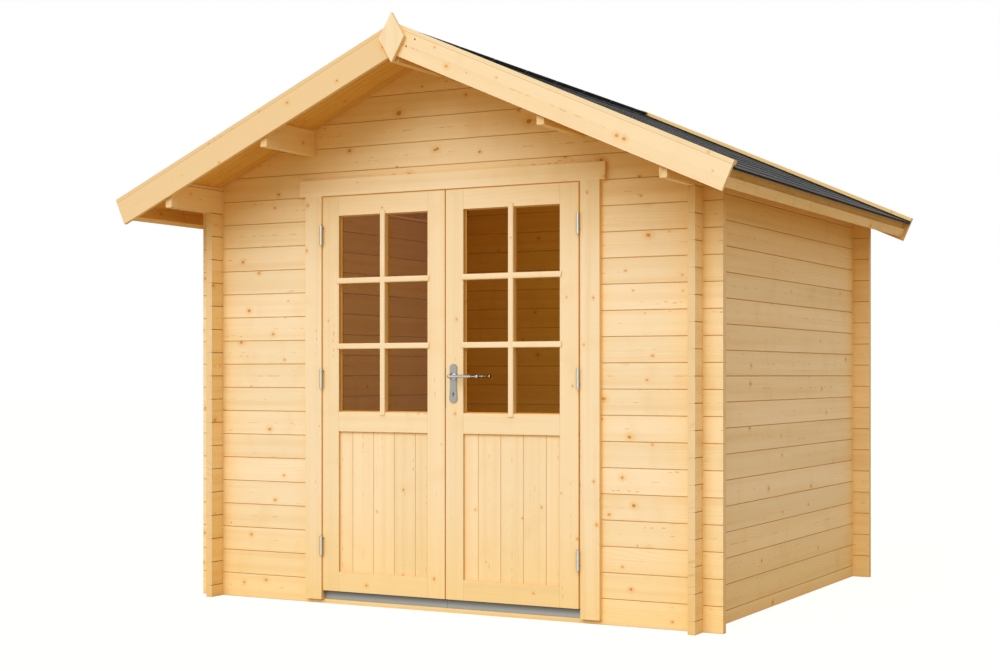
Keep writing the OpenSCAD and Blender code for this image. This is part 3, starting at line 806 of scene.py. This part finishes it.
def shingle_tab(side, name, u0, width):
    """One tab: its head lies on the boards, and its foot on the course below."""
    base = BOARD_T + COVERING_T
    foot = u0 + EXPOSURE + TAB_LAP

    def build(bm):
        corners = []
        for u, lift in ((u0, 0.0), (foot, TAB_LIFT)):
            for v in (base + lift, base + lift + SHINGLE_T):
                for s in (TAB_SLOT / 2, width - TAB_SLOT / 2):
                    corners.append(bm.verts.new(on_slope(side, u, SHINGLE_FRONT + s, v)))
        for loop in ((0, 1, 3, 2), (4, 6, 7, 5), (0, 4, 5, 1), (2, 3, 7, 6), (0, 2, 6, 4), (1, 5, 7, 3)):
            bm.faces.new([corners[i] for i in loop])

    return mesh_of(name, build)


def shingles(side, name):
    """Courses of tabs from the ridge to the eave, every other course shifted by half a tab."""
    nudge = Vector((0, 0.4 * MM, 0.25 * MM))
    last = COVERING_END - EXPOSURE - TAB_LAP
    courses = math.ceil(last / EXPOSURE) + 1
    first = last - (courses - 1) * EXPOSURE
    fields = []
    for i in range(courses):
        u0 = first + i * EXPOSURE
        shifted = i % 2 == 0
        tab = shingle_tab(side, f"{name}_tab", u0, TAB_PITCH)
        if shifted:
            tab.transform(Matrix.Translation(Y * TAB_PITCH / 2))
        count = TAB_COUNT - 1 if shifted else TAB_COUNT
        fields.append(row_of(tab, count, Y * TAB_PITCH, FELT, nudge, seed=i + 40 * side))
        if shifted:
            half = shingle_tab(side, f"{name}_half_tab", u0, TAB_PITCH / 2)
            span = Y * (SHINGLE_BACK - SHINGLE_FRONT - TAB_PITCH / 2)
            fields.append(row_of(half, 2, span, FELT, seed=i + 80 * side))
    piece(f"{name}_shingles", joined(f"{name}_shingles", fields, FELT), "cabin")


def ridge_shingles():
    """Short strips bent over the ridge, each lapping the one before it."""
    reach = 118 * MM
    lap = 145 * MM
    length = 190 * MM
    base = BOARD_T + COVERING_T + SHINGLE_T * 1.6
    count = math.floor((SHINGLE_BACK - SHINGLE_FRONT - length) / lap) + 1
    pitch = (SHINGLE_BACK - SHINGLE_FRONT - length) / (count - 1)

    def build(bm):
        rings = []
        for y, lift in ((SHINGLE_FRONT, SHINGLE_T * 1.3), (SHINGLE_FRONT + length, 0.0)):
            low, high = base + lift, base + lift + SHINGLE_T
            ring = [on_slope(-1, reach, y, low), Vector((0, y, RIDGE_Z + low / COS_P)),
                    on_slope(1, reach, y, low), on_slope(1, reach, y, high),
                    Vector((0, y, RIDGE_Z + high / COS_P)), on_slope(-1, reach, y, high)]
            rings.append([bm.verts.new(p) for p in ring])
        for ring in rings:
            bm.faces.new([ring[i] for i in (0, 1, 4, 5)])
            bm.faces.new([ring[i] for i in (1, 2, 3, 4)])
        for i in range(6):
            j = (i + 1) % 6
            bm.faces.new([rings[0][i], rings[0][j], rings[1][j], rings[1][i]])

    strip = mesh_of("ridge_strip", build)
    made = row_of(strip, count, Y * pitch, FELT, (0, 0, 0.2 * MM), seed=7)
    piece("ridge_shingles", made, "cabin")


# ---- doors ----

BAR_W = 27 * MM
BAR_PROUD = 5 * MM
BAR_EASING = 4 * MM
BAR_ROWS = 3
UPRIGHT_BAR_LAP, LEVEL_BAR_LAP = 14 * MM, 8 * MM
LEVEL_BAR_SUNK = 0.4 * MM
BEAD = 5 * MM
LOCK_RISE = 70 * MM


def bar_section(depth):
    """Bar with eased shoulders, whose back lies depth behind the leaf's face."""
    half = BAR_W / 2
    shoulder = [
        (half - BAR_EASING * 1.2, -BAR_PROUD),
        (half - BAR_EASING * 0.4, -BAR_PROUD + BAR_EASING * 0.3),
        (half, -BAR_PROUD + BAR_EASING),
        (half, depth),
    ]
    return [(-s, t) for s, t in reversed(shoulder)] + shoulder


def window_bars(name):
    """Upright and level bars on both faces of a leaf's pane, and the beads that hold the pane."""
    pane_low, pane_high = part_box(f"{name}_glass")
    leaf_low, leaf_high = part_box(f"{name}_leaf_frame")
    low = Vector((pane_low.x + REBATE, 0, pane_low.z + REBATE))
    high = Vector((pane_high.x - REBATE, 0, pane_high.z - REBATE))
    middle = (low.x + high.x) / 2
    faces = ((leaf_low.y, pane_low.y, Y), (leaf_high.y, pane_high.y, -Y))

    def bar(bm, start, end, side, face_y, glass_y, inward, lap):
        """From edge to edge of the light down to the glass, and over the leaf's face by the lap."""
        depth = abs(glass_y - face_y)
        along = (end - start).normalized()
        place = Vector((0, face_y, 0))
        prism(bm, bar_section(depth), place + start, place + end, side, inward)
        proud = [(s, min(t, 0.0)) for s, t in bar_section(0.0)]
        prism(bm, proud, place + start - along * lap, place + start, side, inward)
        prism(bm, proud, place + end, place + end + along * lap, side, inward)

    def uprights(bm):
        for face_y, glass_y, inward in faces:
            bar(bm, Vector((middle, 0, low.z)), Vector((middle, 0, high.z)), X, face_y, glass_y, inward,
                UPRIGHT_BAR_LAP)

    def levels(bm):
        for face_y, glass_y, inward in faces:
            sunk = inward * LEVEL_BAR_SUNK
            for i in range(1, BAR_ROWS):
                z = low.z + (high.z - low.z) * i / BAR_ROWS
                bar(bm, Vector((low.x, 0, z)) + sunk, Vector((high.x, 0, z)) + sunk, Z, face_y,
                    glass_y - sunk.y, inward, LEVEL_BAR_LAP)

    def beads(bm):
        quarter = [(0, 0)] + [
            (BEAD * math.cos(a * math.pi / 8), BEAD * math.sin(a * math.pi / 8)) for a in range(5)
        ]
        y = pane_high.y
        corners = [Vector((low.x, y, low.z)), Vector((high.x, y, low.z)),
                   Vector((high.x, y, high.z)), Vector((low.x, y, high.z))]
        for i in range(4):
            start, end = corners[i], corners[(i + 1) % 4]
            inward = Y.cross(end - start).normalized() * -1
            prism(bm, quarter, start, end, inward, Y)

    body = f"{name}_leaf"
    piece(f"{name}_upright_window_bars", mesh_of(f"{name}_upright_bars", uprights, UPRIGHT_TRIM), body)
    piece(f"{name}_level_window_bars", mesh_of(f"{name}_level_bars", levels, LEVEL_TRIM), body)
    piece(f"{name}_glazing_beads", mesh_of(f"{name}_beads", beads, UPRIGHT_TRIM), body)


def lock_plates():
    """Face plate of the lock in the edge of the right leaf, and its striker in the left leaf."""
    length, width, thick = 190 * MM, 20 * MM, 0.6 * MM
    for name, body in (("right", "right_leaf"), ("left", "left_leaf")):
        low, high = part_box(f"{name}_leaf_frame")
        edge = low.x if name == "right" else high.x
        out = -X if name == "right" else X
        centre = Vector((edge, (low.y + high.y) / 2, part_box("handle_plates")[0].z + LOCK_RISE))

        def build(bm):
            steps = 8
            outline = []
            for end in (1, -1):
                for k in range(steps + 1):
                    a = math.pi * k / steps
                    rise = math.sin(a) * width / 2 + length / 2 - width / 2
                    outline.append((end * math.cos(a) * width / 2, end * rise))
            prism(bm, outline, centre, centre + out * thick, Y, Z)

        piece(f"{name}_lock_plate", mesh_of(f"{name}_lock_plate", build, HINGE_STEEL), body)


def lock_works():
    """Body of the lock, seen through the keyholes of both handle plates: a keyhole-shaped plug, near black as
    painted shade in the holes.
    """
    low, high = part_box("right_leaf_frame")
    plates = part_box("handle_plates")
    middle = Vector(((plates[0].x + plates[1].x) / 2, 0, plates[0].z + KEYHOLE_RISE))
    radius, slot, half_slot = KEYHOLE_R - 0.3 * MM, 12.6 * MM, 1.7 * MM
    inset = 1 * MM
    slot_angle = 24
    steps = 14
    outline = []
    for k in range(steps + 1):
        turn = math.radians(-90 + slot_angle) + math.radians(360 - 2 * slot_angle) * k / steps
        outline.append((radius * math.cos(turn), radius * math.sin(turn)))
    outline += [(-half_slot, -slot), (half_slot, -slot)]

    def build(bm):
        prism(bm, outline, middle + Y * (low.y + inset), middle + Y * (high.y - inset), X, Z)

    piece("lock_works", mesh_of("lock_works", build, LOCK_STEEL_AND_SHADE), "right_leaf")


# ---- screws ----


def screw_head(bm, place, out, side):
    """Countersunk head with a six-sided recess."""
    up = out.cross(side)
    radius, proud, hex_r, sink = 4.2 * MM, 0.5 * MM, 1.7 * MM, 1.6 * MM
    count = 12
    rings = []
    for r, h in ((radius, 0.0), (radius * 0.9, proud), (hex_r, proud), (hex_r * 0.9, proud - sink)):
        ring = []
        for k in range(count):
            a = math.tau * k / count
            ring.append(bm.verts.new(place + out * h + (side * math.cos(a) + up * math.sin(a)) * r))
        rings.append(ring)
    for lower, upper in zip(rings, rings[1:]):
        for k in range(count):
            n = (k + 1) % count
            bm.faces.new([lower[k], lower[n], upper[n], upper[k]])
    bm.faces.new(rings[-1])
    bm.faces.new(list(reversed(rings[0])))


def bargeboard_screws():
    """Two screws through each right-hand bargeboard into the ridge purlin's end blocks."""
    places = ((0.112, 20 * MM), (0.082, -22 * MM))

    def build(bm):
        for u, v in places:
            front = on_slope(1, u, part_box("right_front_bargeboard")[0].y, v)
            screw_head(bm, front, -Y, X)
            rear = on_slope(1, u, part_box("right_rear_bargeboard")[1].y, v)
            screw_head(bm, rear, Y, X)

    piece("bargeboard_screws", mesh_of("bargeboard_screws", build, SCREW_STEEL), "cabin")


# ---- studio ----

CAMERA_PLACE = Vector((3.829, -7.523, 1.089))
CAMERA_TURN = 28.23
CAMERA_LENS = 59.56
CAMERA_RISE = 0.0392
KEY_STRENGTH = 2.36
KEY_FROM = Vector((-0.02, -0.81, 0.59))
ROOM_STRENGTH = 6.3
ROOM_PLACE = Vector((0, 0.2, 1.5))
FLOOR_REACH = 60.0
FLOOR_WHITE = 0.72


def camera():
    data = bpy.data.cameras.new("camera")
    data.sensor_width = 36
    data.lens = CAMERA_LENS
    data.shift_y = CAMERA_RISE
    made = bpy.data.objects.new("camera", data)
    made.location = CAMERA_PLACE
    made.rotation_euler = (math.radians(90), 0, math.radians(CAMERA_TURN))
    bpy.context.scene.collection.objects.link(made)
    bpy.context.scene.camera = made


def seen(tree):
    """1 for what the eye sees, also through glass or in a polished surface."""
    path = put(tree, "ShaderNodeLightPath").outputs
    polished = calc(tree, "MAXIMUM", path["Is Glossy Ray"], path["Is Transmission Ray"])
    return calc(tree, "MAXIMUM", path["Is Camera Ray"], polished)


def world():
    made = bpy.data.worlds.new("studio")
    made.use_nodes = True
    tree = made.node_tree
    tree.nodes.clear()
    soft = put(tree, "ShaderNodeBackground", {"Color": paint("FFF7EC"), "Strength": 0.72})
    white = put(tree, "ShaderNodeBackground", {"Color": (1, 1, 1, 1), "Strength": 1.0})
    both = put(tree, "ShaderNodeMixShader", {0: seen(tree), 1: soft.outputs[0], 2: white.outputs[0]})
    put(tree, "ShaderNodeOutputWorld", {"Surface": both.outputs[0]})
    bpy.context.scene.world = made


def key_light():
    data = bpy.data.lights.new("key", "SUN")
    data.energy = KEY_STRENGTH
    data.angle = math.radians(50)
    data.color = paint("DBE4ED")[:3]
    made = bpy.data.objects.new("key", data)
    made.rotation_euler = (-KEY_FROM).to_track_quat("-Z", "Y").to_euler()
    bpy.context.scene.collection.objects.link(made)


def room_light():
    """Soft warm light inside the room, where the walls pass light from one to the other."""
    data = bpy.data.lights.new("room", "POINT")
    data.energy = ROOM_STRENGTH
    data.shadow_soft_size = 0.5
    data.color = paint("FFD658")[:3]
    made = bpy.data.objects.new("room", data)
    made.location = ROOM_PLACE
    made.visible_camera = False
    made.visible_glossy = False
    made.visible_transmission = False
    bpy.context.scene.collection.objects.link(made)


def floor():
    """Pale floor. Outside the walls the eye sees it white, with only a faint shadow."""
    reach = FLOOR_REACH
    mesh = bpy.data.meshes.new("floor")
    corners = [(-reach, -reach, 0), (reach, -reach, 0), (reach, reach, 0), (-reach, reach, 0)]
    mesh.from_pydata(corners, [], [(0, 1, 2, 3)])
    material, tree = new_material("floor")
    where = put(tree, "ShaderNodeTexCoord").outputs["Object"]
    x, y, _ = put(tree, "ShaderNodeSeparateXYZ", {0: where}).outputs
    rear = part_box("rear_wall")[1].y
    middle_y, half_y = (WALL_FACE + rear) / 2, (rear - WALL_FACE) / 2
    half_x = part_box("right_wall")[1].x
    inside = calc(
        tree, "MULTIPLY", calc(tree, "LESS_THAN", calc(tree, "ABSOLUTE", x), half_x),
        calc(tree, "LESS_THAN", calc(tree, "ABSOLUTE", calc(tree, "SUBTRACT", y, middle_y)), half_y),
    )
    lit = calc(tree, "MULTIPLY", seen(tree), calc(tree, "SUBTRACT", 1.0, inside))
    pale = put(tree, "ShaderNodeBsdfDiffuse", {"Color": paint("BCA880")})
    white = put(tree, "ShaderNodeEmission", {"Color": (1, 1, 1, 1), "Strength": 1.3})
    both = put(
        tree, "ShaderNodeMixShader",
        {0: calc(tree, "MULTIPLY", lit, FLOOR_WHITE), 1: pale.outputs[0], 2: white.outputs[0]},
    )
    put(tree, "ShaderNodeOutputMaterial", {"Surface": both.outputs[0]})
    mesh.materials.append(material)
    made = bpy.data.objects.new("floor", mesh)
    bpy.context.scene.collection.objects.link(made)


bpy.context.scene.view_settings.view_transform = "Standard"
camera()
world()
key_light()
room_light()
floor()
dress_nodes()
for slope_side, slope_name in ((-1, "left"), (1, "right")):
    roof_boards(slope_side, slope_name)
    shingles(slope_side, slope_name)
ridge_shingles()
for leaf_name in ("left", "right"):
    window_bars(leaf_name)
lock_plates()
lock_works()
bargeboard_screws()
